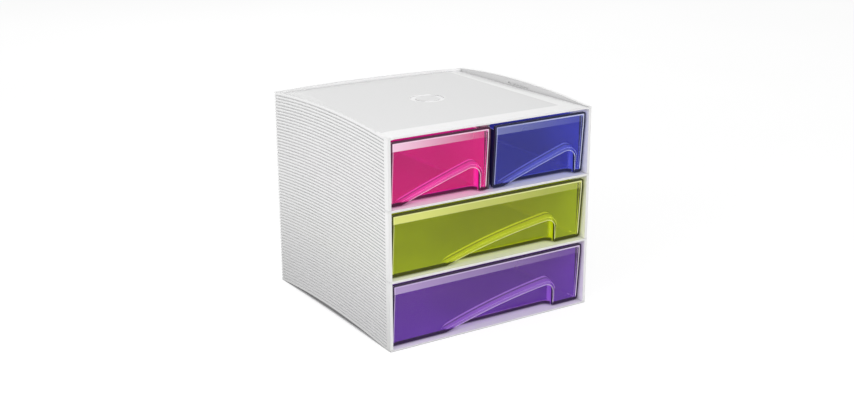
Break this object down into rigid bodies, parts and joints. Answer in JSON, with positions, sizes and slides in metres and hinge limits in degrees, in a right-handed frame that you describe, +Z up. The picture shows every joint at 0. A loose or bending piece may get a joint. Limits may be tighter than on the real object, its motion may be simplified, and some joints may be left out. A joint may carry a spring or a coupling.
{
  "type": "plastic drawer tower",
  "caption": "Desktop drawer tower: ribbed white case with arched side edges and a bowed back, and clear tinted drawers with swept finger scoops that slide out of the front.",
  "frame": {"origin": "centre of the whole outline seen from above, on the surface that the tower stands on", "axes": "+Z up, -Y out through the drawer fronts, +X to the right seen from the front"},
  "size_m": [0.186, 0.192, 0.1699],
  "materials": {
    "white_plastic": "satin",
    "clear_pink": "clear tinted, polished",
    "clear_blue": "clear tinted, polished",
    "clear_lime": "clear tinted, polished",
    "clear_purple": "clear tinted, polished"
  },
  "bodies": {
    "case": {"left_side_panel": "white_plastic", "right_side_panel": "white_plastic", "back_panel": "white_plastic", "base_panel": "white_plastic", "lower_shelf": "white_plastic", "upper_shelf": "white_plastic", "top_panel": "white_plastic", "centre_divider": "white_plastic"},
    "pink_drawer": {"pink_drawer": "clear_pink"},
    "blue_drawer": {"blue_drawer": "clear_blue"},
    "lime_drawer": {"lime_drawer": "clear_lime"},
    "purple_drawer": {"purple_drawer": "clear_purple"}
  },
  "joints": [
    {"name": "pink_slide", "type": "slide", "parent": "case", "child": "pink_drawer", "axis": [0, -1, 0], "range_m": [0, 0.14]},
    {"name": "blue_slide", "type": "slide", "parent": "case", "child": "blue_drawer", "axis": [0, -1, 0], "range_m": [0, 0.14]},
    {"name": "lime_slide", "type": "slide", "parent": "case", "child": "lime_drawer", "axis": [0, -1, 0], "range_m": [0, 0.14]},
    {"name": "purple_slide", "type": "slide", "parent": "case", "child": "purple_drawer", "axis": [0, -1, 0], "range_m": [0, 0.14]}
  ]
}
